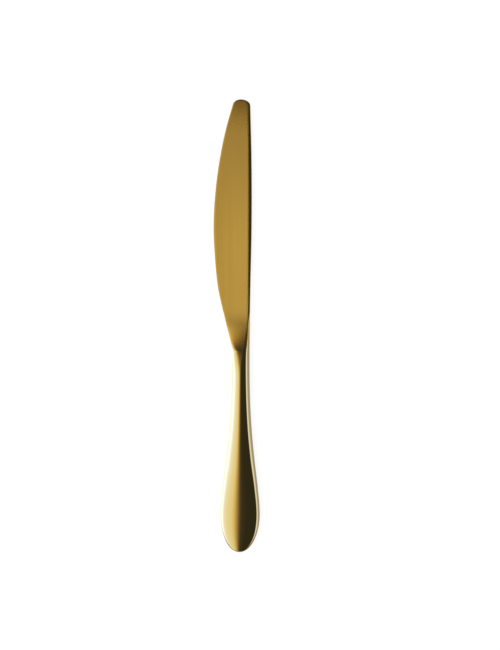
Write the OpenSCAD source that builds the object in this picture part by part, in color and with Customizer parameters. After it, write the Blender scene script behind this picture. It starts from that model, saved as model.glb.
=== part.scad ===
// Table knife with a hollow handle.
// A forged blade with its bolster and tang is set into a handle that is brazed together from two
// pressed half shells and filled with cement.
// The knife lies flat. +Y points from the butt end to the tip, +X to the spine and -X to the
// cutting edge. The origin is the middle of the bounding box, on the plane that the knife lies on.

// Sub-part to draw

/* [Overall] */

// Length from the butt end to the tip
overall_l = 240; // [225:1:250]

/* [Handle] */

// Length from the butt end to the handle's mouth
handle_l = 106.5; // [95:0.5:115]
// Width at the swell near the butt end
handle_w = 21.2; // [18:0.1:24]
// Thickness at the swell
handle_t = 8.2; // [7:0.1:10]
// Width at the mouth
neck_w = 9.4; // [8:0.1:12]
// Thickness at the mouth
neck_t = 6.9; // [6:0.1:9]
// Thickness of the neck just before it falls to the mouth
neck_full_t = 7.3; // [6:0.1:9]
// Length over which the neck falls to the mouth
neck_fall_l = 7; // [3:0.5:12]
// Length of the round butt end, seen from above
butt_l = 20; // [15:0.5:26]
// Length of the round butt end, seen from the side
butt_side_l = 20; // [12:0.5:26]
// Length from the butt end over which the section is fuller than an oval
full_l = 50; // [30:1:60]
// Length over which the neck turns from oval to the bolster's squarer section
neck_square_l = 14; // [8:1:20]
// Wall of the pressed half shells
shell_wall = 0.8; // [0.5:0.1:1.2]

/* [Blade] */

// Reach of the cutting edge from the handle's axis, at its belly
edge_reach = 14.75; // [12:0.05:18]
// Reach of the spine from the handle's axis
spine_reach = 5.5; // [5:0.1:8]
// Thickness beside the spine, next to the bolster
spine_t = 2.6; // [2.4:0.1:3]
// Width of the bevel along the blunt cutting edge
bevel_w = 0.4; // [0.2:0.1:0.8]
// Slope of the bevel
bevel_angle = 10; // [5:1:15]
// Width of the rounding along the spine
spine_round = 1.7; // [0.8:0.1:2.4]
// Height of the rounding along the spine
spine_drop = 0.4; // [0.2:0.1:0.6]
// Length over which the blade swells into the bolster
bolster_l = 22; // [16:1:30]
// Length over which the bolster's edge side becomes square
bolster_square_l = 4.5; // [3:0.5:8]
// Length over which the blade thins to its tip
tip_fall_l = 20; // [10:1:30]
// Length of the rounded corner between tip and spine
tip_spine_round = 3.4; // [2:0.1:6]
// Length of the rounded corner between tip and cutting edge
tip_edge_round = 2.5; // [0.8:0.1:3]
// Distance from the handle's axis to the tip's foremost point, towards the edge
tip_shift = 0.6; // [0:0.1:2]

/* [Tang and filling] */

// Length of the tang inside the handle
tang_l = 48; // [30:1:60]
// Width of the tang at the bolster
tang_w = 5; // [3:0.1:6]
// Width of the tang's rounded end
tang_end_w = 3; // [2:0.1:4]
// Thickness of the tang
tang_t = 3; // [2:0.1:4]
// Depth of cement in the handle, from the mouth
filling_l = 72; // [65:1:80]

/* [Brazed joints] */

// Thickness of the braze between the half shells
seam_t = 0.2; // [0.1:0.05:0.3]
// Thickness of the braze between the mouth and the bolster
mouth_braze_t = 0.2; // [0.1:0.05:0.3]

/* [Hidden] */

// Slopes of the ground faces towards the cutting edge and towards the tip
edge_taper_share = 0.045;
tip_taper_share = 0.002;
// Extra fall of the ground face at the tip
tip_fall = 0.7;
// Length over which the tip's rim is rounded
tip_rim = 1;
// Powers of the curves that fall from the neck and swell into the bolster
fall_power = 3;
swell_power = 2;
// Powers of the sections: edge side of the neck, edge side of the bolster, rim of the butt end
neck_power = 4.5;
bolster_power = 14;
rim_power = 12;
// Crown across the bolster's edge side
crown_share = 2;
// Speed at which the blade's section takes on the bolster's
round_growth = 2.2;
// Grid for the blade's points, which keeps its ground faces flat
grid = 0.01;
// Length of tang that runs into the bolster
tang_overlap = 2;

// Width of the handle from swell to mouth, at even steps, between swell width and mouth width
handle_shares = [1, 0.81, 0.51, 0.26, 0.1, 0.02, 0];
// Reach of the cutting edge from bolster to tip, at even steps, beyond half the mouth's width
edge_shares = [0, 0.37, 0.745, 0.925, 1, 0.92, 0.72, 0.4, -0.055];
// Slope of the cutting edge's reach next to the bolster, for each step
edge_start_share = 0.14;
// Reach of the spine from bolster to tip, at even steps, beyond half the mouth's width
spine_shares = [0, 0.4, 1, 0.7, -0.5];

// Steps of the surfaces: round butt end, rest of the handle, swelling bolster, blade, tip
butt_steps = 10;
body_steps = 26;
bolster_steps = 14;
blade_steps = 28;
tip_steps = 7;
// Power that spaces the rows next to the mouth
row_power = 1.5;
// Steps across half a section, from the edge side to the crest, and on to the spine side
side_steps = 7;
arc_steps = 2 * side_steps;
flat_steps = side_steps - 1;

blade_y = handle_l + mouth_braze_t;
blade_l = overall_l - blade_y;
tip_y = overall_l - tip_spine_round;
filling_y = handle_l - filling_l;

// Moves from the handle's axis and butt end to the origin
to_origin = [(edge_reach - handle_w / 2) / 2, -overall_l / 2, handle_t / 2];

steel_gold = [0.80, 0.66, 0.36];
polished_gold = [0.90, 0.77, 0.45];
shaded_gold = [0.72, 0.58, 0.30];
braze_brown = [0.55, 0.42, 0.22];
cement_grey = [0.66, 0.64, 0.60];

// Curves

function mix(a, b, share) = a + (b - a) * share;

// Height of a unit quarter circle over a share of its length, then level
function cap(share) = share >= 1 ? 1 : sqrt(1 - (1 - share) * (1 - share));

// Change from 0 to 1 that starts and ends level
function ease(share) = (1 - cos(180 * share)) / 2;

// Slope of a smooth curve at one of its evenly spaced points
function slope(shares, i, start) =
    i == 0 ? start
    : i == len(shares) - 1 ? shares[i] - shares[i - 1]
    : (shares[i + 1] - shares[i - 1]) / 2;

// Cubic curve between two points with given slopes
function cubic(a, b, slope_a, slope_b, f) =
    mix(mix(mix(a, a + slope_a / 3, f), mix(a + slope_a / 3, b - slope_b / 3, f), f),
        mix(mix(a + slope_a / 3, b - slope_b / 3, f), mix(b - slope_b / 3, b, f), f), f);

// Smooth curve through evenly spaced points, with its slope at the first one
function smooth(shares, share, start = 0) =
    let (last = len(shares) - 1,
         i = min(floor(share * last), last - 1))
    cubic(shares[i], shares[i + 1], slope(shares, i, start), slope(shares, i + 1, start),
          share * last - i);

// Handle: sizes at the length y, measured on the surface that lies inset below the outer one

function handle_half_w(y, inset) =
    y < butt_l ? (handle_w / 2 - inset) * cap((y - inset) / (butt_l - inset))
    : mix(neck_w, handle_w, smooth(handle_shares, (y - butt_l) / (handle_l - butt_l))) / 2 - inset;

function handle_half_t(y, inset) =
    let (share = ease(max(0, y - butt_l) / (handle_l - butt_l)),
         fall = (neck_full_t - neck_t) * pow(max(0, 1 - (handle_l - y) / neck_fall_l), fall_power),
         full = (mix(handle_t, neck_full_t, share) - fall) / 2 - inset)
    full * cap((y - inset) / (butt_side_l - inset));

// Steps from 0 to 1 that start small
function growing(i, steps) = pow(i / steps, row_power);

// Length of row i, close together where the butt end rounds and next to the mouth
function handle_row_y(i, inset) =
    i <= butt_steps ? mix(butt_l, inset, cos(90 * i / butt_steps))
    : mix(handle_l, butt_l, growing(butt_steps + body_steps - i, body_steps));

// How far the section towards the butt end turns from oval to a flatter side with a rounder rim
function fullness(y) = ease(min(1, max(0, full_l - y) / (full_l - butt_l)));

// How far the neck turns from oval to the bolster's squarer section
function squareness(y) = pow(max(0, 1 - (handle_l - y) / neck_square_l), 2);

// Upper half of a section, above half the seam. It rises from the edge side to its crest, and falls
// round to the spine side.
function crested_arc(edge_x, crest_x, spine_x, half_t, power, full = 0, lean = 0, crown = 0) =
    [for (k = [0 : arc_steps])
        let (on_edge_side = k < side_steps,
             across = on_edge_side ? cos(90 * k / side_steps) : sin(90 * (k - side_steps) / side_steps),
             x = mix(crest_x, on_edge_side ? edge_x : spine_x, across),
             side_power = on_edge_side ? power : 2,
             oval = pow(1 - pow(across, side_power), 1 / side_power),
             flatter = (1 - across * across / 2) * sqrt(1 - pow(across, rim_power)),
             from_crest = max(0, crest_x - x),
             top = half_t - lean * from_crest - crown * from_crest * from_crest)
        [x, mix(seam_t / 2, top, mix(oval, flatter, full))]];

function handle_arc(y, inset) =
    let (half_w = handle_half_w(y, inset),
         half_t = handle_half_t(y, inset),
         square = squareness(y))
    crested_arc(-half_w, square * (half_w - half_t), half_w, half_t, mix(2, neck_power, square),
                full = fullness(y));

// Blade

function on_grid(x) = round(x / grid) * grid;

function edge_x(y) =
    mix(-neck_w / 2, -edge_reach,
        smooth(edge_shares, (y - blade_y) / blade_l, edge_start_share));

function spine_x(y) =
    mix(neck_w / 2, spine_reach, smooth(spine_shares, (y - blade_y) / blade_l));

// Same outline with the tip's two corners rounded
function edge_outline(y) =
    mix(-tip_shift, edge_x(y), cap((overall_l - y) / tip_edge_round));

function spine_outline(y) =
    mix(-tip_shift, spine_x(y), cap((overall_l - y) / tip_spine_round));

// Half thickness of the ground face
function ground_z(x, y) =
    let (near_tip = pow(max(0, 1 - (overall_l - y) / tip_fall_l), 2))
    spine_t / 2 - edge_taper_share * (1 - near_tip) * (spine_reach - x)
    - tip_taper_share * (y - blade_y) - tip_fall * near_tip;

// Upper half of the blade's section: edge bevel, ground face and round spine
function blade_arc(y) =
    let (rim = cap((overall_l - y) / tip_rim),
         edge = edge_outline(y),
         spine = spine_outline(y),
         flat_edge = edge + rim * bevel_w,
         flat_spine = spine - rim * spine_round)
    [for (k = [0 : arc_steps])
        let (turn = 90 * max(0, k - side_steps) / side_steps,
             x = on_grid(k == 0 ? edge
                         : k <= flat_steps ? mix(flat_edge, flat_spine, (k - 1) / flat_steps)
                         : mix(flat_spine, spine, sin(turn))))
        [x, rim * (k == 0 ? ground_z(flat_edge, y) - bevel_w * tan(bevel_angle)
                   : k <= side_steps ? ground_z(x, y)
                   : ground_z(flat_spine, y) - spine_drop * (1 - cos(turn)))]];

// Share of the bolster's length that is left to the blade, 1 next to the handle
function bolster_share(y) = max(0, 1 - (y - blade_y) / bolster_l);

// Upper half of the bolster's section, round along the spine and square along the edge side
function bolster_arc(y) =
    let (share = bolster_share(y),
         half_t = mix(spine_t, neck_t, pow(share, swell_power)) / 2,
         spine = spine_outline(y))
    crested_arc(edge_outline(y), spine - half_t, spine, half_t,
                mix(neck_power, bolster_power, min(1, (y - blade_y) / bolster_square_l)),
                lean = edge_taper_share * (1 - share),
                crown = crown_share * pow(share, 3) * (1 - share) / bolster_l);

// Blade's section, swelling into the bolster's next to the handle
function swelling_arc(y) =
    let (roundness = ease(min(1, round_growth * bolster_share(y))),
         thin = blade_arc(y),
         full = bolster_arc(y))
    roundness == 0 ? thin : [for (k = [0 : arc_steps]) mix(thin[k], full[k], roundness)];

blade_rows = concat(
    [for (i = [0 : bolster_steps]) blade_y + bolster_l * growing(i, bolster_steps)],
    [for (i = [1 : blade_steps])
        on_grid(mix(blade_y + bolster_l, tip_y, i / blade_steps))],
    [for (i = [1 : tip_steps - 1])
        on_grid(overall_l - tip_spine_round * (1 - cos(90 * (1 - i / tip_steps))))]);

// Solids

// Closed ring of points at the length y, from an upper half section and its mirror image
function ring(arc, y) =
    concat([for (p = arc) [p.x, y, p.y]],
           [for (k = [len(arc) - 1 : -1 : 0]) [arc[k].x, y, -arc[k].y]]);

// Triangles of a skin over rows of n points each, closed all round
function skin(n, rows) =
    [for (r = [0 : rows - 2], c = [0 : n - 1])
        let (a = r * n + c, b = r * n + (c + 1) % n)
        each [[a, b + n, b], [a, a + n, b + n]]];

// Triangles between the upper and the lower half of a ring that starts at a given point
function end_face(n, start) =
    [for (k = [0 : n / 2 - 2])
        let (a = start + k, b = start + n - 1 - k)
        each [[a, a + 1, b], [a + 1, b - 1, b]]];

function turned(faces) = [for (f = faces) [f[2], f[1], f[0]]];

module blade_body() {
    arcs = [for (y = blade_rows) swelling_arc(y)];
    rings = [for (i = [0 : len(arcs) - 1]) each ring(arcs[i], blade_rows[i])];
    n = 2 * (arc_steps + 1);
    last = len(rings) - n;
    polyhedron(
        points = concat(rings, [[-tip_shift, overall_l, 0]]),
        faces = concat(
            skin(n, len(arcs)),
            end_face(n, 0),
            [for (c = [0 : n - 1]) [last + c, len(rings), last + (c + 1) % n]]),
        convexity = 4);
}

module tang() {
    straight_l = tang_l - tang_end_w / 2;
    end_y = blade_y - straight_l;
    translate([0, 0, -tang_t / 2])
        linear_extrude(tang_t) {
            polygon([
                [-tang_w / 2, blade_y + tang_overlap],
                [tang_w / 2, blade_y + tang_overlap],
                [tang_w / 2, blade_y],
                [tang_end_w / 2, end_y],
                [-tang_end_w / 2, end_y],
                [-tang_w / 2, blade_y]]);
            translate([0, end_y])
                circle(d = tang_end_w, $fn = 48);
        }
}

// Half shell above the seam: rows of the outer arc, then rows of the inner arc, then the two poles
module half_shell() {
    rows = butt_steps + body_steps;
    n = arc_steps + 1;
    outer = [for (i = [1 : rows])
        let (y = handle_row_y(i, 0))
        each [for (p = handle_arc(y, 0)) [p.x, y, p.y]]];
    inner = [for (i = [1 : rows])
        let (y = handle_row_y(i, shell_wall))
        each [for (p = handle_arc(y, shell_wall)) [p.x, y, p.y]]];
    first_inner = len(outer);
    outer_pole = 2 * first_inner;
    inner_pole = outer_pole + 1;
    mouth = (rows - 1) * n;
    outer_skin = [for (r = [0 : rows - 2], c = [0 : n - 2])
        let (a = r * n + c)
        each [[a, a + n + 1, a + 1], [a, a + n, a + n + 1]]];
    inner_skin = turned([for (f = outer_skin) [for (v = f) v + first_inner]]);
    seam_faces = [for (r = [0 : rows - 2])
        let (a = r * n, b = a + n - 1)
        each [[a, a + n + first_inner, a + n], [a, a + first_inner, a + n + first_inner],
              [b, b + n, b + n + first_inner], [b, b + n + first_inner, b + first_inner]]];
    mouth_face = [for (c = [0 : n - 2])
        let (a = mouth + c)
        each [[a, a + 1 + first_inner, a + 1], [a, a + first_inner, a + 1 + first_inner]]];
    butt_cap = [for (c = [0 : n - 2])
        each [[outer_pole, c, c + 1], [inner_pole, c + 1 + first_inner, c + first_inner]]];
    butt_seam = [
        [outer_pole, first_inner, 0], [outer_pole, inner_pole, first_inner],
        [outer_pole, n - 1, first_inner + n - 1], [outer_pole, first_inner + n - 1, inner_pole]];
    polyhedron(
        points = concat(outer, inner, [[0, 0, seam_t / 2], [0, shell_wall, seam_t / 2]]),
        faces = concat(outer_skin, inner_skin, seam_faces, mouth_face, butt_cap, butt_seam),
        convexity = 6);
}

// Half outline of the handle seen from above, from the pole to the mouth
function handle_outline(inset) =
    [for (i = [0 : butt_steps + body_steps])
        let (y = handle_row_y(i, inset))
        [handle_half_w(y, inset), y]];

function mirrored(outline) =
    [for (i = [len(outline) - 1 : -1 : 1]) [-outline[i].x, outline[i].y]];

module place() {
    translate(to_origin)
        children();
}

// Sub-parts

module blade() {
    color(steel_gold)
        place()
            union() {
                blade_body();
                tang();
            }
}

module handle_front_shell() {
    color(polished_gold)
        place()
            half_shell();
}

module handle_back_shell() {
    color(shaded_gold)
        place()
            mirror([0, 0, 1])
                half_shell();
}

module seam_braze() {
    outer = handle_outline(0);
    inner = handle_outline(shell_wall);
    inner_back = [for (i = [len(inner) - 1 : -1 : 0]) inner[i]];
    color(braze_brown)
        place()
            translate([0, 0, -seam_t / 2])
                linear_extrude(seam_t)
                    polygon(concat(mirrored(outer), outer, inner_back,
                                   [for (i = [1 : len(inner) - 1]) [-inner[i].x, inner[i].y]]));
}

module mouth_braze() {
    outer = ring(handle_arc(handle_l, 0), 0);
    inner = ring(handle_arc(handle_l, shell_wall), 0);
    color(braze_brown)
        place()
            translate([0, blade_y, 0])
                rotate([90, 0, 0])
                    linear_extrude(mouth_braze_t)
                        difference() {
                            polygon([for (p = outer) [p.x, p.z]]);
                            polygon([for (p = inner) [p.x, p.z]]);
                        }
}

module handle_filling() {
    inner_rows = [for (i = [butt_steps : butt_steps + body_steps])
        let (y = handle_row_y(i, shell_wall))
        if (y > filling_y) y];
    rows = concat([filling_y], inner_rows);
    mouth_arc = handle_arc(handle_l, shell_wall);
    rings = concat([for (y = rows) each ring(handle_arc(y, shell_wall), y)],
                   ring(mouth_arc, blade_y));
    n = 2 * (arc_steps + 1);
    color(cement_grey)
        place()
            difference() {
                polyhedron(
                    points = rings,
                    faces = concat(
                        skin(n, len(rows) + 1),
                        end_face(n, 0),
                        turned(end_face(n, len(rings) - n))),
                    convexity = 4);
                tang();
            }
}

blade();
handle_front_shell();
handle_back_shell();
seam_braze();
mouth_braze();
handle_filling();
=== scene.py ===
"""Looks of the table knife: a satin forged blade in a mirror-polished hollow handle, both gold coloured.

The knife lies flat. +Y points to the blade's tip, +X to the spine and +Z up. Lengths are in metres.
"""

import math
import bmesh
import bpy
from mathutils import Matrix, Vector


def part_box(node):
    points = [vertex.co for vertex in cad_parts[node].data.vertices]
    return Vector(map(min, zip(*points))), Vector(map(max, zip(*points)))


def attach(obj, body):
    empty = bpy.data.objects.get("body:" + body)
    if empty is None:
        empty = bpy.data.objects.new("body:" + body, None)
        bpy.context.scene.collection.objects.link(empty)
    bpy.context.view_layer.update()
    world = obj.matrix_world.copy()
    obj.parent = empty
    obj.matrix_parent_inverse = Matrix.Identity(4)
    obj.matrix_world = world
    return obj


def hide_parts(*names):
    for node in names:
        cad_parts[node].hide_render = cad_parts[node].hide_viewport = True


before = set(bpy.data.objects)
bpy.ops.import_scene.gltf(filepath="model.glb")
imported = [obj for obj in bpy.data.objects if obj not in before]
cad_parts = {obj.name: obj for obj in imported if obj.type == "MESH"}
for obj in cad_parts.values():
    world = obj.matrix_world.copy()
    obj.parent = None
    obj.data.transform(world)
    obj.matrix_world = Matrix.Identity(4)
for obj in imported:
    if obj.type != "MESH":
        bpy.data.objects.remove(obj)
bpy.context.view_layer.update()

MM = 0.001

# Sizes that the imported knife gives

shell_low, shell_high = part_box("handle_front_shell")
blade_low, blade_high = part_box("blade")
ring_low, ring_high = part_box("mouth_braze")
seam_low, seam_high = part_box("seam_braze")

axis_x = (shell_low.x + shell_high.x) / 2
middle_z = (seam_low.z + seam_high.z) / 2
butt_y = shell_low.y
handle_l = shell_high.y - butt_y
handle_w = shell_high.x - shell_low.x
handle_t = 2 * (shell_high.z - middle_z)
neck_w = ring_high.x - ring_low.x
neck_t = ring_high.z - ring_low.z
seam_t = seam_high.z - seam_low.z
blade_y = ring_high.y - butt_y
overall_l = blade_high.y - butt_y
blade_l = overall_l - blade_y
edge_reach = axis_x - blade_low.x
spine_reach = blade_high.x - axis_x

# Sizes of the handle's and the blade's surfaces, from the same drawing as the solids

butt_l = 20 * MM
butt_side_l = 20 * MM
full_l = 50 * MM
shell_wall = 0.8 * MM
neck_full_t = 7.3 * MM
neck_fall_l = 7 * MM
spine_t = 2.6 * MM
bevel_w = 0.4 * MM
bevel_angle = math.radians(10)
spine_round = 1.7 * MM
spine_drop = 0.4 * MM
neck_square_l = 14 * MM
bolster_l = 22 * MM
bolster_square_l = 4.5 * MM
tip_spine_round = 3.4 * MM
tip_edge_round = 2.5 * MM
tip_shift = 0.6 * MM
tip_rim = 1.0 * MM
tip_fall_l = 20 * MM
tip_fall = 0.7 * MM
edge_taper_share = 0.045
tip_taper_share = 0.002
fall_power = 3
swell_power = 2
neck_power = 4.5
rim_power = 12
bolster_power = 14
crown_share = 2
round_growth = 2.2
handle_shares = [1, 0.81, 0.51, 0.26, 0.1, 0.02, 0]
edge_start_share = 0.14
edge_shares = [0, 0.37, 0.745, 0.925, 1, 0.92, 0.72, 0.4, -0.055]
spine_shares = [0, 0.4, 1, 0.7, -0.5]

# Polish on the satin blade: next to the handle, at the tip and in a strip along the spine

shine_l = 24 * MM
joint_shine = 0.75
tip_shine_l = 44 * MM
tip_shine = 0.53
shine_w = 2.5 * MM
shine_fade_w = 1.3 * MM
shine_shares = [0.5, 0.7, 1, 1, 0.6]

# Steps of the surfaces: across half a section, along the shells, the seam and the blade

half_steps = 22
bevel_steps = 2
flat_steps = half_steps - bevel_steps
shell_rows = 321
shell_columns = 65
profile_steps = 220
seam_steps = 160
bolster_steps = 80
blade_steps = 150
tip_steps = 36
weld_gap = 0.002 * MM


# Curves

def mix(a, b, share):
    return a + (b - a) * share


def cap(share):
    """Height of a unit quarter circle over a share of its length, then level."""
    return 1 if share >= 1 else math.sqrt(max(0, 1 - (1 - share) ** 2))


def ease(share):
    """Change from 0 to 1 that starts and ends level."""
    return (1 - math.cos(math.pi * share)) / 2


def slope(shares, i, start):
    """Slope of the curve at one of its points."""
    if i == 0:
        return start
    if i == len(shares) - 1:
        return shares[i] - shares[i - 1]
    return (shares[i + 1] - shares[i - 1]) / 2


def smooth(shares, share, start=0):
    """Smooth curve through evenly spaced points, with its slope at the first one."""
    last = len(shares) - 1
    i = min(int(share * last), last - 1)
    f = share * last - i
    a, b = shares[i], shares[i + 1]
    leave = a + slope(shares, i, start) / 3
    arrive = b - slope(shares, i + 1, start) / 3
    middle = mix(leave, arrive, f)
    return mix(mix(mix(a, leave, f), middle, f), mix(middle, mix(arrive, b, f), f), f)


# Handle: half width at the length y, on the surface inset below the outer one, and half thickness

def handle_half_w(y, inset=0):
    if y < butt_l:
        return (handle_w / 2 - inset) * cap((y - inset) / (butt_l - inset))
    share = smooth(handle_shares, (y - butt_l) / (handle_l - butt_l))
    return mix(neck_w, handle_w, share) / 2 - inset


def handle_half_t(y):
    share = ease(max(0, y - butt_l) / (handle_l - butt_l))
    fall = (neck_full_t - neck_t) * max(0, 1 - (handle_l - y) / neck_fall_l) ** fall_power
    full = (mix(handle_t, neck_full_t, share) - fall) / 2
    return full * cap(y / butt_side_l)


def fullness(y):
    """How far the section towards the butt end has turned from oval to a flatter side with a rounder rim."""
    return ease(min(1, max(0, full_l - y) / (full_l - butt_l)))


def squareness(y):
    """How far the neck has turned from oval to the bolster's squarer section."""
    return max(0, 1 - (handle_l - y) / neck_square_l) ** 2


def handle_lengths(steps, inset=0):
    """Lengths from butt end to mouth, close together where the butt end rounds."""
    return [mix(handle_l, inset, math.cos(math.pi / 2 * i / steps)) for i in range(steps + 1)]


def crested_arc(edge, crest, spine, half_t, power, floor=None, lean=0, crown=0):
    """Upper half of a section. It rises from the edge side to its crest, and falls round to the spine."""
    floor = seam_t / 2 if floor is None else floor
    arc = []
    for i in range(half_steps):
        across = math.cos(math.pi / 2 * i / half_steps)
        x = mix(crest, edge, across)
        top = half_t - lean * (crest - x) - crown * (crest - x) ** 2
        arc.append((x, mix(floor, top, (1 - across ** power) ** (1 / power))))
    for i in range(half_steps + 1):
        turn = math.pi / 2 * i / half_steps
        arc.append((mix(crest, spine, math.sin(turn)), mix(floor, half_t, math.cos(turn))))
    return arc


# Meshes

def in_place(x, y, z):
    """A point given from the handle's axis, the butt end and the middle plane."""
    return (axis_x + x, butt_y + y, middle_z + z)


def link(obj):
    bpy.context.scene.collection.objects.link(obj)
    return obj


def ring_loft(name, rings, tip=None):
    """Closed skin over rings of points, with flat ends, or a single point at the far end."""
    form = bmesh.new()
    rows = [[form.verts.new(p) for p in ring] for ring in rings]
    count = len(rings[0])
    for near, far in zip(rows, rows[1:]):
        for i in range(count):
            j = (i + 1) % count
            form.faces.new((near[i], near[j], far[j], far[i]))
    half = count // 2
    for row in ([rows[0]] if tip else [rows[0], rows[-1]]):
        for i in range(half - 1):
            form.faces.new((row[i], row[i + 1], row[count - 2 - i], row[count - 1 - i]))
    if tip:
        point = form.verts.new(tip)
        for i in range(count):
            form.faces.new((rows[-1][i], rows[-1][(i + 1) % count], point))
    bmesh.ops.recalc_face_normals(form, faces=form.faces)
    return finished(name, form)


def finished(name, form):
    """An object with the form's mesh."""
    mesh = bpy.data.meshes.new(name)
    form.to_mesh(mesh)
    form.free()
    mesh.shade_smooth()
    return link(bpy.data.objects.new(name, mesh))


def settle(obj, slot, material, *nodes, crease=40):
    """The piece takes its finish, stands for its solids and rides on the knife."""
    obj.data.set_sharp_from_angle(angle=math.radians(crease))
    obj.data.materials.clear()
    obj.data.materials.append(material)
    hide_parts(*nodes)
    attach(obj, "root")
    return obj


# Nodes

def fill_socket(tree, socket, value):
    """The socket takes another node's output, a colour or a number."""
    if isinstance(value, bpy.types.NodeSocket):
        tree.links.new(value, socket)
    elif isinstance(value, tuple):
        socket.default_value = (*value, 1)
    else:
        socket.default_value = value


def math_node(tree, operation, *values):
    node = tree.nodes.new("ShaderNodeMath")
    node.operation = operation
    for socket, value in zip(node.inputs, values):
        fill_socket(tree, socket, value)
    return node.outputs[0]


def range_node(tree, value, from_low, from_high, to_low=0, to_high=1, change="SMOOTHSTEP"):
    """The value carried from one range to another, and held at its ends."""
    node = tree.nodes.new("ShaderNodeMapRange")
    node.interpolation_type = change
    for name, number in (("Value", value), ("From Min", from_low), ("From Max", from_high),
                         ("To Min", to_low), ("To Max", to_high)):
        fill_socket(tree, node.inputs[name], number)
    return node.outputs["Result"]


def colour_node(tree, share, low, high):
    """Colour between two colours."""
    node = tree.nodes.new("ShaderNodeMix")
    node.data_type = "RGBA"
    for name, value in (("Factor", share), ("A", low), ("B", high)):
        fill_socket(tree, node.inputs[name], value)
    return node.outputs["Result"]


# Finishes

class Finish:
    """A metal or stone finish: its nodes, and short ways to add to them."""

    def __init__(self, name, metallic):
        self.material = bpy.data.materials.new(name)
        self.material.use_nodes = True
        self.tree = self.material.node_tree
        self.nodes = self.tree.nodes
        self.links = self.tree.links
        self.shader = self.nodes["Principled BSDF"]
        self.shader.inputs["Metallic"].default_value = metallic
        self.place = self.nodes.new("ShaderNodeTexCoord").outputs["Object"]

    def grain(self, size, detail=3):
        """Noise whose grains have this size along each axis, in metres."""
        stretch = self.nodes.new("ShaderNodeMapping")
        stretch.inputs["Scale"].default_value = [1 / s for s in size]
        noise = self.nodes.new("ShaderNodeTexNoise")
        noise.inputs["Scale"].default_value = 1
        noise.inputs["Detail"].default_value = detail
        self.links.new(self.place, stretch.inputs["Vector"])
        self.links.new(stretch.outputs["Vector"], noise.inputs["Vector"])
        return noise.outputs["Fac"]

    def span(self, value, *limits):
        """The value carried from one range to another, and held at its ends."""
        return range_node(self.tree, value, *limits)

    def tint(self, share, low, high):
        return colour_node(self.tree, share, low, high)

    def surface(self, colour, roughness):
        self.links.new(colour, self.shader.inputs["Base Color"])
        self.links.new(roughness, self.shader.inputs["Roughness"])

    def relief(self, height, depth, strength):
        node = self.nodes.new("ShaderNodeBump")
        fill_socket(self.tree, node.inputs["Strength"], strength)
        node.inputs["Distance"].default_value = depth
        self.links.new(height, node.inputs["Height"])
        self.links.new(node.outputs["Normal"], self.shader.inputs["Normal"])


# The satin face has painted shade: it is darker towards its tip and towards its cutting edge. Its faint
# bands, a random tone, are stronger along the edge

shaded_tip_gold = (0.81, 0.49, 0.092)
lit_belly_gold = (1.0, 0.612, 0.115)
band_and_shade_gold = (0.79, 0.475, 0.077)
polish_shade_gold = (0.73, 0.46, 0.105)
bright_gold = (0.80, 0.62, 0.27)
belly_start_y = 90 * MM
belly_end_y = 40 * MM
edge_shade_start_x = -13 * MM
edge_shade_end_x = 1 * MM


def satin_gold():
    """Satin blade with a polished spine, polished more and more towards its tip and the handle."""
    finish = Finish("satin_gold", 1)
    streaks = finish.grain((0.25 * MM, 12 * MM, 0.25 * MM))
    polish = finish.nodes.new("ShaderNodeAttribute")
    polish.attribute_name = "shine"
    along = finish.nodes.new("ShaderNodeSeparateXYZ")
    finish.links.new(finish.place, along.inputs[0])
    # Painted shade along the blade: the satin goes from the lit belly colour to a darker gold towards the
    # tip
    belly_light_share = finish.span(along.outputs["Y"], belly_start_y, belly_end_y, 0, 1)
    satin = finish.tint(belly_light_share, shaded_tip_gold, lit_belly_gold)
    bands = finish.grain((1.6 * MM, 70 * MM, 1.6 * MM), 2)
    # Painted shade across the blade: the bands' mix leans to the darker gold towards the cutting edge, over
    # the random bands
    edge_shade_low = finish.span(along.outputs["X"], edge_shade_start_x, edge_shade_end_x, 0.2, 0.85)
    clear = finish.span(along.outputs["X"], edge_shade_start_x, edge_shade_end_x, 0.55, 1.05)
    satin = finish.tint(finish.span(bands, 0.35, 0.65, edge_shade_low, clear), band_and_shade_gold, satin)
    # Painted shade: the satin turns a darker gold where the polish begins, towards the tip and the handle
    # and beside the spine strip
    polish_shade = finish.span(polish.outputs["Fac"], 0, 0.45, 0, 1)
    satin = finish.tint(polish_shade, satin, polish_shade_gold)
    bright = finish.span(polish.outputs["Fac"], 0.55, 0.75, 0, 1)
    colour = finish.tint(bright, satin, bright_gold)
    ground = finish.span(streaks, 0.35, 0.65, 0.32, 0.38)
    finish.surface(colour, finish.span(polish.outputs["Fac"], 0, 1, ground, 0.07))
    finish.relief(streaks, 0.004 * MM, finish.span(polish.outputs["Fac"], 0, 0.3, 0.05, 0.01))
    across = finish.nodes.new("ShaderNodeTangent")
    across.direction_type = "UV_MAP"
    across.uv_map = "grain"
    finish.links.new(across.outputs["Tangent"], finish.shader.inputs["Tangent"])
    finish.shader.inputs["Anisotropic"].default_value = 0.85
    return finish.material


def polished_gold(name="polished_gold", low=(0.79, 0.61, 0.26), high=(0.81, 0.63, 0.28)):
    """Mirror polish with faint wiping marks."""
    finish = Finish(name, 1)
    clouds = finish.grain((18 * MM, 30 * MM, 18 * MM), 2)
    marks = finish.grain((1.2 * MM, 5 * MM, 1.2 * MM), 4)
    finish.surface(finish.tint(clouds, low, high), finish.span(marks, 0.3, 0.7, 0.045, 0.07))
    finish.relief(clouds, 0.01 * MM, 0.1)
    return finish.material


def cement():
    """Hard grey cement inside the handle."""
    finish = Finish("cement", 0)
    sand = finish.grain((0.4 * MM, 0.4 * MM, 0.4 * MM), 6)
    colour = finish.tint(sand, (0.46, 0.44, 0.40), (0.70, 0.68, 0.63))
    finish.surface(colour, finish.span(sand, 0.2, 0.8, 0.75, 0.95))
    finish.relief(sand, 0.05 * MM, 0.6)
    return finish.material


# Half shells: a section turned along the handle's profile

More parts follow.
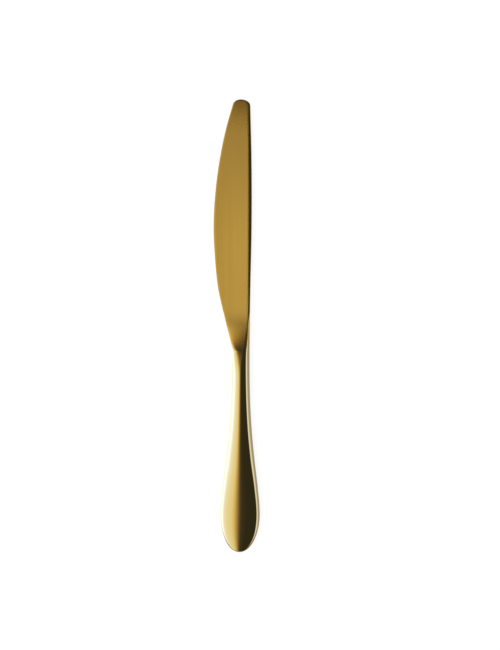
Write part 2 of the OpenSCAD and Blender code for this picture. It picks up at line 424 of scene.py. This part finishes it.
def profile_curve():
    """Half width, length and half thickness above the seam.

    The radius holds the section's form: its power from 2 upwards, and how much fuller it is below 2.
    """
    lengths = handle_lengths(profile_steps)
    curve = bpy.data.curves.new("handle_profile", "CURVE")
    curve.dimensions = "3D"
    line = curve.splines.new("POLY")
    line.points.add(len(lengths) - 1)
    for point, y in zip(line.points, lengths):
        point.co = (handle_half_w(y), y, max(0, handle_half_t(y) - seam_t / 2), 1)
        point.radius = mix(2, neck_power, squareness(y)) - fullness(y)
    return link(bpy.data.objects.new("handle_profile", curve))


def shell_tree():
    """Geometry nodes that press a half shell's outer surface over the profile."""
    tree = bpy.data.node_groups.new("pressed_half_shell", "GeometryNodeTree")
    face = tree.interface
    for socket, kind in (("Profile", "Object"), ("Side", "Float"), ("Seam Thickness", "Float"),
                         ("Rows", "Int"), ("Columns", "Int"), ("Place", "Vector"), ("Finish", "Material")):
        face.new_socket(socket, in_out="INPUT", socket_type="NodeSocket" + kind)
    face.new_socket("Shell", in_out="OUTPUT", socket_type="NodeSocketGeometry")
    new, join = tree.nodes.new, tree.links.new
    given = new("NodeGroupInput").outputs

    def calc(*terms):
        return math_node(tree, *terms)

    grid = new("GeometryNodeMeshGrid")
    join(given["Rows"], grid.inputs["Vertices X"])
    join(given["Columns"], grid.inputs["Vertices Y"])
    spot = new("ShaderNodeSeparateXYZ")
    join(new("GeometryNodeInputPosition").outputs[0], spot.inputs[0])
    along = calc("ADD", spot.outputs["X"], 0.5)
    turn = calc("MULTIPLY", calc("ADD", spot.outputs["Y"], 0.5), math.pi)

    source = new("GeometryNodeObjectInfo")
    join(given["Profile"], source.inputs["Object"])
    sample = new("GeometryNodeSampleCurve")
    sample.mode = "FACTOR"
    join(source.outputs["Geometry"], sample.inputs["Curves"])
    join(along, sample.inputs["Factor"])
    join(new("GeometryNodeInputRadius").outputs[0], sample.inputs["Value"])
    size = new("ShaderNodeSeparateXYZ")
    join(sample.outputs["Position"], size.inputs[0])

    across = calc("COSINE", turn)
    extra = calc("MAXIMUM", calc("SUBTRACT", sample.outputs["Value"], 2.0), 0.0)
    full = calc("MAXIMUM", calc("SUBTRACT", 2.0, sample.outputs["Value"]), 0.0)
    square = calc("DIVIDE", extra, neck_power - 2.0)
    crest = calc("MULTIPLY", square, calc("SUBTRACT", size.outputs["X"],
                                          calc("ADD", size.outputs["Z"], seam_t / 2)))
    edge_side = calc("GREATER_THAN", across, 0.0)
    reach = calc("ADD", size.outputs["X"], calc("MULTIPLY", crest, calc("SIGN", across)))
    x = calc("SUBTRACT", crest, calc("MULTIPLY", across, reach))
    power = calc("ADD", calc("MULTIPLY", extra, edge_side), 2.0)
    aside = calc("MINIMUM", calc("ABSOLUTE", across), 1.0)
    fall = calc("POWER", aside, power)
    height = calc("POWER", calc("SUBTRACT", 1.0, fall), calc("DIVIDE", 1.0, power))
    side = calc("SUBTRACT", 1.0, calc("DIVIDE", calc("POWER", aside, 2.0), 2.0))
    rim = calc("SQRT", calc("SUBTRACT", 1.0, calc("POWER", aside, float(rim_power))))
    more = calc("MULTIPLY", full, calc("SUBTRACT", calc("MULTIPLY", side, rim), height))
    rise = calc("MULTIPLY", size.outputs["Z"], calc("ADD", height, more))
    z = calc("MULTIPLY", given["Side"], calc("ADD", calc("DIVIDE", given["Seam Thickness"], 2.0), rise))
    point = new("ShaderNodeCombineXYZ")
    for socket, value in zip(point.inputs, (x, size.outputs["Y"], z)):
        join(value, socket)
    moved = new("ShaderNodeVectorMath")
    moved.operation = "ADD"
    join(point.outputs[0], moved.inputs[0])
    join(given["Place"], moved.inputs[1])

    pressed = new("GeometryNodeSetPosition")
    join(grid.outputs["Mesh"], pressed.inputs["Geometry"])
    join(moved.outputs[0], pressed.inputs["Position"])
    turned = new("GeometryNodeFlipFaces")
    join(pressed.outputs["Geometry"], turned.inputs["Mesh"])
    join(calc("GREATER_THAN", given["Side"], 0.0), turned.inputs["Selection"])
    closed = new("GeometryNodeMergeByDistance")
    join(turned.outputs["Mesh"], closed.inputs["Geometry"])
    closed.inputs["Distance"].default_value = weld_gap
    real = new("GeometryNodeRealizeInstances")
    join(closed.outputs["Geometry"], real.inputs["Geometry"])
    coated = new("GeometryNodeSetMaterial")
    join(real.outputs["Geometry"], coated.inputs["Geometry"])
    join(given["Finish"], coated.inputs["Material"])
    join(coated.outputs["Geometry"], new("NodeGroupOutput").inputs["Shell"])
    return tree


def plain_mesh(obj, name):
    """The object's finished mesh as a piece of its own."""
    bpy.context.view_layer.update()
    seen = obj.evaluated_get(bpy.context.evaluated_depsgraph_get())
    mesh = bpy.data.meshes.new_from_object(seen)
    mesh.name = name
    bpy.data.objects.remove(obj)
    return link(bpy.data.objects.new(name, mesh))


def half_shell(name, side, tree, profile, material):
    """Half of the handle, pressed over the profile, with its wall inside and its rim level on the seam."""
    base = link(bpy.data.objects.new(name + "_blank", bpy.data.meshes.new(name + "_blank")))
    press = base.modifiers.new("press", "NODES")
    press.node_group = tree
    values = {"Profile": profile, "Side": float(side), "Seam Thickness": seam_t,
              "Rows": shell_rows, "Columns": shell_columns, "Place": in_place(0, 0, 0), "Finish": material}
    for item in tree.interface.items_tree:
        if item.in_out == "INPUT":
            press[item.identifier] = values[item.name]
    wall = base.modifiers.new("wall", "SOLIDIFY")
    wall.thickness = shell_wall
    wall.offset = -1
    shell = plain_mesh(base, name)
    seam_z = middle_z + side * seam_t / 2
    for vertex in shell.data.vertices:
        if side * (vertex.co.z - seam_z) < 0:
            vertex.co.z = seam_z
    shell.data.shade_smooth()
    return shell


# Braze

def seam_ribbon():
    """Band between the half shells, along both sides and round the butt end."""
    outer = [(handle_half_w(y), y) for y in handle_lengths(seam_steps)]
    inner = [(handle_half_w(y, shell_wall), y) for y in handle_lengths(seam_steps, shell_wall)]
    rings = []
    for side in (-1, 1):
        order = range(seam_steps, -1, -1) if side < 0 else range(1, seam_steps + 1)
        for i in order:
            rings.append([in_place(side * x, y, z) for (x, y), z in (
                (outer[i], -seam_t / 2), (outer[i], seam_t / 2),
                (inner[i], seam_t / 2), (inner[i], -seam_t / 2))])
    return ring_loft("seam_braze_band", rings)


def mouth_ring():
    """Ring between the handle's mouth and the bolster."""
    form = bmesh.new()
    rows = []
    fall = fall_power * (neck_full_t - neck_t) / 2 / neck_fall_l * (blade_y - handle_l)
    for y, inset, lower in ((handle_l, 0, 0), (blade_y, 0, fall), (blade_y, shell_wall, fall),
                            (handle_l, shell_wall, 0)):
        half_w = neck_w / 2 - inset
        half_t = neck_t / 2 - inset - lower
        crest = (neck_w - neck_t) / 2
        arc = crested_arc(-half_w, crest, half_w, half_t, neck_power, 0)
        upper = [in_place(x, y, z) for x, z in arc]
        lower_half = [in_place(x, y, -z) for x, z in arc[-2:0:-1]]
        rows.append([form.verts.new(point) for point in upper + lower_half])
    count = len(rows[0])
    for near, far in zip(rows, rows[1:] + rows[:1]):
        for i in range(count):
            j = (i + 1) % count
            form.faces.new((near[i], near[j], far[j], far[i]))
    bmesh.ops.recalc_face_normals(form, faces=form.faces)
    return finished("mouth_braze_ring", form)


# Blade

def edge_outline(y):
    """Place of the cutting edge across the blade."""
    reach = mix(neck_w / 2, edge_reach, smooth(edge_shares, (y - blade_y) / blade_l, edge_start_share))
    return mix(-tip_shift, -reach, cap((overall_l - y) / tip_edge_round))


def spine_outline(y):
    """Place of the spine across the blade."""
    reach = mix(neck_w / 2, spine_reach, smooth(spine_shares, (y - blade_y) / blade_l))
    return mix(-tip_shift, reach, cap((overall_l - y) / tip_spine_round))


def ground_z(x, y):
    """Half thickness of the ground face."""
    near_tip = max(0, 1 - (overall_l - y) / tip_fall_l) ** 2
    slant = edge_taper_share * (1 - near_tip) * (spine_reach - x)
    return spine_t / 2 - slant - tip_taper_share * (y - blade_y) - tip_fall * near_tip


def blade_arc(y):
    """Upper half of the section: edge bevel, ground face and round spine."""
    rim = cap((overall_l - y) / tip_rim)
    edge = edge_outline(y)
    spine = spine_outline(y)
    flat_edge = edge + rim * bevel_w
    flat_spine = spine - rim * spine_round
    edge_z = ground_z(flat_edge, y) - bevel_w * math.tan(bevel_angle)
    arc = []
    for i in range(bevel_steps):
        x = mix(edge, flat_edge, i / bevel_steps)
        z = mix(edge_z, ground_z(flat_edge, y), i / bevel_steps)
        arc.append((x, rim * z))
    for i in range(flat_steps):
        x = mix(flat_edge, flat_spine, i / flat_steps)
        arc.append((x, rim * ground_z(x, y)))
    top = ground_z(flat_spine, y)
    for i in range(half_steps + 1):
        turn = math.pi / 2 * i / half_steps
        x = mix(flat_spine, spine, math.sin(turn))
        arc.append((x, rim * (top - spine_drop * (1 - math.cos(turn)))))
    return arc


def bolster_share(y):
    """Share of the bolster's length that is left to the blade, 1 next to the handle."""
    return max(0, 1 - (y - blade_y) / bolster_l)


def bolster_arc(y):
    """Upper half of the bolster's section, round along the spine and square along the edge side."""
    share = bolster_share(y)
    half_t = mix(spine_t, neck_t, share ** swell_power) / 2
    spine = spine_outline(y)
    power = mix(neck_power, bolster_power, min(1, (y - blade_y) / bolster_square_l))
    crown = crown_share / bolster_l * share ** 3 * (1 - share)
    return crested_arc(edge_outline(y), spine - half_t, spine, half_t, power,
                       lean=edge_taper_share * (1 - share), crown=crown)


def roundness(y):
    """Share of the bolster's section in the blade's. It reaches 1 well before the handle."""
    return ease(min(1, round_growth * bolster_share(y)))


def swelling_arc(y):
    """Upper half of the section at the length y, from the blade to the bolster next to the handle."""
    share = roundness(y)
    return [(mix(a[0], b[0], share), mix(a[1], b[1], share)) for a, b in zip(blade_arc(y), bolster_arc(y))]


def blade_section(y, arc):
    """Points of the whole section at the length y, from its upper half."""
    upper = [in_place(x, y, z) for x, z in arc]
    lower = [in_place(x, y, -z) for x, z in reversed(arc)]
    return upper + lower


def blade_lengths():
    """Lengths of the blade's rows, close together where the tip's corner rounds."""
    swelling = [blade_y + bolster_l * i / bolster_steps for i in range(bolster_steps)]
    long_l = blade_l - bolster_l - tip_spine_round
    middle = [blade_y + bolster_l + long_l * i / blade_steps for i in range(blade_steps)]
    turns = [math.pi / 2 * (1 - i / tip_steps) for i in range(tip_steps)]
    return swelling + middle + [overall_l - tip_spine_round * (1 - math.cos(turn)) for turn in turns]


def shine(y, arc):
    """Polish round one section: 0 on the satin face, more towards tip and handle, 1 along the spine."""
    near_handle = joint_shine * max(0, 1 - (y - blade_y) / shine_l)
    near_tip = tip_shine * max(0, 1 - (overall_l - y) / tip_shine_l)
    start = spine_outline(y) - shine_w * smooth(shine_shares, (y - blade_y) / blade_l)
    values = [max(near_handle, near_tip, ease(min(1, max(0, (x - start) / shine_fade_w)))) for x, z in arc]
    return values + values[::-1]


def forged_blade():
    """Blade and bolster, with the share of polish and the direction of the grain on them."""
    lengths = blade_lengths()
    arcs = [swelling_arc(y) for y in lengths]
    sections = [blade_section(y, arc) for y, arc in zip(lengths, arcs)]
    blade = ring_loft("forged_blade", sections, in_place(-tip_shift, overall_l, 0))
    values = [value for y, arc in zip(lengths, arcs) for value in shine(y, arc)] + [0]
    layer = blade.data.attributes.new("shine", "FLOAT", "POINT")
    layer.data.foreach_set("value", values)
    grain = blade.data.uv_layers.new(name="grain")
    for loop in blade.data.loops:
        point = blade.data.vertices[loop.vertex_index].co
        grain.data[loop.index].uv = (point.x / overall_l, point.y / overall_l)
    return blade


# Knife

polish = polished_gold()
tree = shell_tree()
profile = profile_curve()
front = half_shell("pressed_front_shell", 1, tree, profile, polish)
back = half_shell("pressed_back_shell", -1, tree, profile, polish)
bpy.data.objects.remove(profile)
settle(front, "handle_steel", polish, "handle_front_shell")
settle(back, "handle_steel", polish, "handle_back_shell")

blade = forged_blade()
settle(blade, "blade_steel", satin_gold(), "blade", crease=12)

joint = polished_gold("polished_braze", (0.76, 0.57, 0.24), (0.79, 0.60, 0.26))
settle(seam_ribbon(), "braze", joint, "seam_braze")
settle(mouth_ring(), "braze", joint, "mouth_braze")

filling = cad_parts["handle_filling"]
filling.data.materials.clear()
filling.data.materials.append(cement())


# Studio. The floor, as the polish mirrors it, has light and the knife's shadow painted in: it fades across
# the knife and is dim behind its butt end.

sheet_reach = 4.0
sheet_grey = 0.22
sheet_white = 0.81
fade_start_x = -4 * MM
fade_end_x = 5 * MM
fade_before_butt = 1.5 * MM
fade_after_butt = 4 * MM
fade_start_glow = 1.5
fade_end_glow = 0.25
behind_butt_glow = 0.1
mirrored_colour = (0.74, 0.86, 1.45)


def studio_floor():
    """Floor with the knife's shadow. The camera sees a white sheet, and the polish mirrors a pale glowing
    one with light and shadow painted in.
    """
    mesh = bpy.data.meshes.new("studio_floor")
    corners = [(-1, -1), (1, -1), (1, 1), (-1, 1)]
    mesh.from_pydata([(sheet_reach * x, sheet_reach * y, 0) for x, y in corners], [], [(0, 1, 2, 3)])
    floor = link(bpy.data.objects.new("studio_floor", mesh))
    material = bpy.data.materials.new("white_sheet")
    material.use_nodes = True
    tree = material.node_tree
    nodes, links = tree.nodes, tree.links
    nodes.clear()
    paper = nodes.new("ShaderNodeBsdfDiffuse")
    paper.inputs["Color"].default_value = (sheet_grey, sheet_grey, sheet_grey, 1)
    rays = nodes.new("ShaderNodeLightPath").outputs
    open_sheet = nodes.new("ShaderNodeEmission")
    open_sheet.inputs["Color"].default_value = (sheet_white, sheet_white, sheet_white, 1)
    links.new(rays["Is Camera Ray"], open_sheet.inputs["Strength"])
    spot = nodes.new("ShaderNodeSeparateXYZ")
    links.new(nodes.new("ShaderNodeTexCoord").outputs["Object"], spot.inputs[0])
    # Painted light and shadow: the glowing sheet that the polish mirrors is bright on the edge side, fades
    # across the knife and dims behind its butt end
    shadowed_mirror_sheet = nodes.new("ShaderNodeEmission")
    shadowed_mirror_sheet.inputs["Color"].default_value = (*mirrored_colour, 1)
    across = range_node(tree, spot.outputs["X"], fade_start_x, fade_end_x,
                        fade_start_glow, fade_end_glow, "LINEAR")
    behind = range_node(tree, spot.outputs["Y"], butt_y - fade_before_butt, butt_y + fade_after_butt,
                        behind_butt_glow, 1, "LINEAR")
    seen = math_node(tree, "ADD", rays["Is Glossy Ray"], rays["Is Transmission Ray"])
    painted_shadow_glow = math_node(tree, "MULTIPLY", seen, math_node(tree, "MULTIPLY", across, behind))
    links.new(painted_shadow_glow, shadowed_mirror_sheet.inputs["Strength"])
    light = nodes.new("ShaderNodeAddShader")
    links.new(open_sheet.outputs[0], light.inputs[0])
    links.new(shadowed_mirror_sheet.outputs[0], light.inputs[1])
    both = nodes.new("ShaderNodeAddShader")
    links.new(paper.outputs[0], both.inputs[0])
    links.new(light.outputs[0], both.inputs[1])
    links.new(both.outputs[0], nodes.new("ShaderNodeOutputMaterial").inputs["Surface"])
    mesh.materials.append(material)


# Light round the knife, from the cutting-edge side (-1) over the top (0) to the spine side (1).
# Surfaces that lean to the tip see more of the spine side.

light_stops = [
    (-1.00, (1.40, 1.75, 3.20)),
    (-0.92, (1.20, 1.50, 2.80)),
    (-0.75, (1.08, 1.17, 1.50)),
    (-0.56, (1.00, 1.07, 1.14)),
    (-0.32, (0.94, 0.92, 0.72)),
    (-0.24, (0.84, 0.73, 0.44)),
    (-0.165, (0.64, 0.50, 0.26)),
    (-0.095, (0.40, 0.29, 0.14)),
    (-0.025, (0.17, 0.13, 0.07)),
    (0.05, (0.068, 0.056, 0.044)),
    (0.13, (0.048, 0.043, 0.033)),
    (0.30, (0.033, 0.034, 0.024)),
]
tip_lean = 0.40
tip_lean_start = 0.02
butt_lean = -0.06
light_spread = 0.55

# Pale wall on the spine side, its shaded foot and the pale low part of the room. Each starts and ends
# where a direction of length 1 has these shares along X, Z or Y.

wall_colour = (0.96, 1.06, 1.42)
wall_start = 0.83
wall_end = 0.88
wall_shade_colour = (0.50, 0.50, 0.46)
wall_shade_start = 0.95
wall_shade_end = 1.0
low_colour = (0.66, 0.62, 0.54)
low_start = 0.42
low_end = 0.30
low_side_start = -0.6
low_side_end = -0.3
low_butt_start = -0.85
low_butt_end = -0.55


def studio_light():
    """A wide soft box on the cutting-edge side, a dark card above the spine side and a pale wall beyond it.

    The room is pale low down as well, except on the cutting-edge side and behind the butt end. The camera
    itself sees a white backdrop.
    """
    world = bpy.data.worlds.new("studio")
    bpy.context.scene.world = world
    world.use_nodes = True
    tree = world.node_tree
    nodes, links = tree.nodes, tree.links
    nodes.clear()
    split = nodes.new("ShaderNodeSeparateXYZ")
    links.new(nodes.new("ShaderNodeTexCoord").outputs["Generated"], split.inputs[0])

    def calc(*terms):
        return math_node(tree, *terms)

    ahead = calc("MAXIMUM", calc("SUBTRACT", split.outputs["Y"], tip_lean_start), 0.0)
    behind = calc("MINIMUM", split.outputs["Y"], 0.0)
    across = calc("MULTIPLY_ADD", ahead, tip_lean, split.outputs["X"])
    across = calc("MULTIPLY_ADD", behind, butt_lean, across)
    across = calc("MULTIPLY_ADD", across, light_spread, 0.5)
    ramp = nodes.new("ShaderNodeValToRGB")
    stops = ramp.color_ramp.elements
    while len(stops) < len(light_stops):
        stops.new(0.5)
    for stop, (place, colour) in zip(stops, light_stops):
        stop.position = (place + 1) / 2
        stop.color = (*colour, 1)
    links.new(across, ramp.inputs["Fac"])

    def passed(axis, start, end):
        """Share of the way from start to end along one axis."""
        return range_node(tree, split.outputs[axis], start, end)

    near_horizon = passed("Z", low_start, low_end)
    off_edge_side = passed("X", low_side_start, low_side_end)
    off_butt_side = passed("Y", low_butt_start, low_butt_end)
    low_share = calc("MULTIPLY", calc("MULTIPLY", near_horizon, off_edge_side), off_butt_side)
    round_knife = colour_node(tree, low_share, ramp.outputs["Color"], low_colour)
    wall_share = passed("X", wall_shade_start, wall_shade_end)
    wall = colour_node(tree, wall_share, wall_colour, wall_shade_colour)
    room = colour_node(tree, passed("X", wall_start, wall_end), round_knife, wall)
    sky = nodes.new("ShaderNodeBackground")
    links.new(room, sky.inputs["Color"])
    backdrop = nodes.new("ShaderNodeBackground")
    backdrop.inputs["Color"].default_value = (1, 1, 1, 1)
    seen = nodes.new("ShaderNodeMixShader")
    links.new(nodes.new("ShaderNodeLightPath").outputs["Is Camera Ray"], seen.inputs["Fac"])
    links.new(sky.outputs[0], seen.inputs[1])
    links.new(backdrop.outputs[0], seen.inputs[2])
    links.new(seen.outputs[0], nodes.new("ShaderNodeOutputWorld").inputs["Surface"])


fill_size = 3.0
fill_height = 2.5
fill_watts = 58


def studio_fill():
    """Wide overhead fill at a plain level. The polish mirrors the room instead."""
    lamp = bpy.data.lights.new("overhead_fill", "AREA")
    lamp.size = fill_size
    lamp.energy = fill_watts
    fill = link(bpy.data.objects.new("overhead_fill", lamp))
    fill.location = (0, 0, fill_height)
    fill.visible_glossy = False


view_long_side = 344.55 * MM
view_distance = 1.5
view_aside = 4.88 * MM
view_ahead = 0.41 * MM
view_turn = math.radians(0.34)
sensor_mm = 36
nearest_seen = 0.1
farthest_seen = 20


def studio_camera():
    """Straight above the knife, turned as the photograph is."""
    lens = bpy.data.cameras.new("camera")
    lens.sensor_width = sensor_mm
    lens.lens = lens.sensor_width * view_distance / view_long_side
    lens.clip_start = nearest_seen
    lens.clip_end = farthest_seen
    camera = link(bpy.data.objects.new("camera", lens))
    camera.location = (axis_x + view_aside, view_ahead, middle_z + view_distance)
    camera.rotation_euler = (0, 0, view_turn)
    bpy.context.scene.camera = camera


studio_floor()
studio_light()
studio_fill()
studio_camera()
bpy.context.scene.view_settings.view_transform = "Standard"
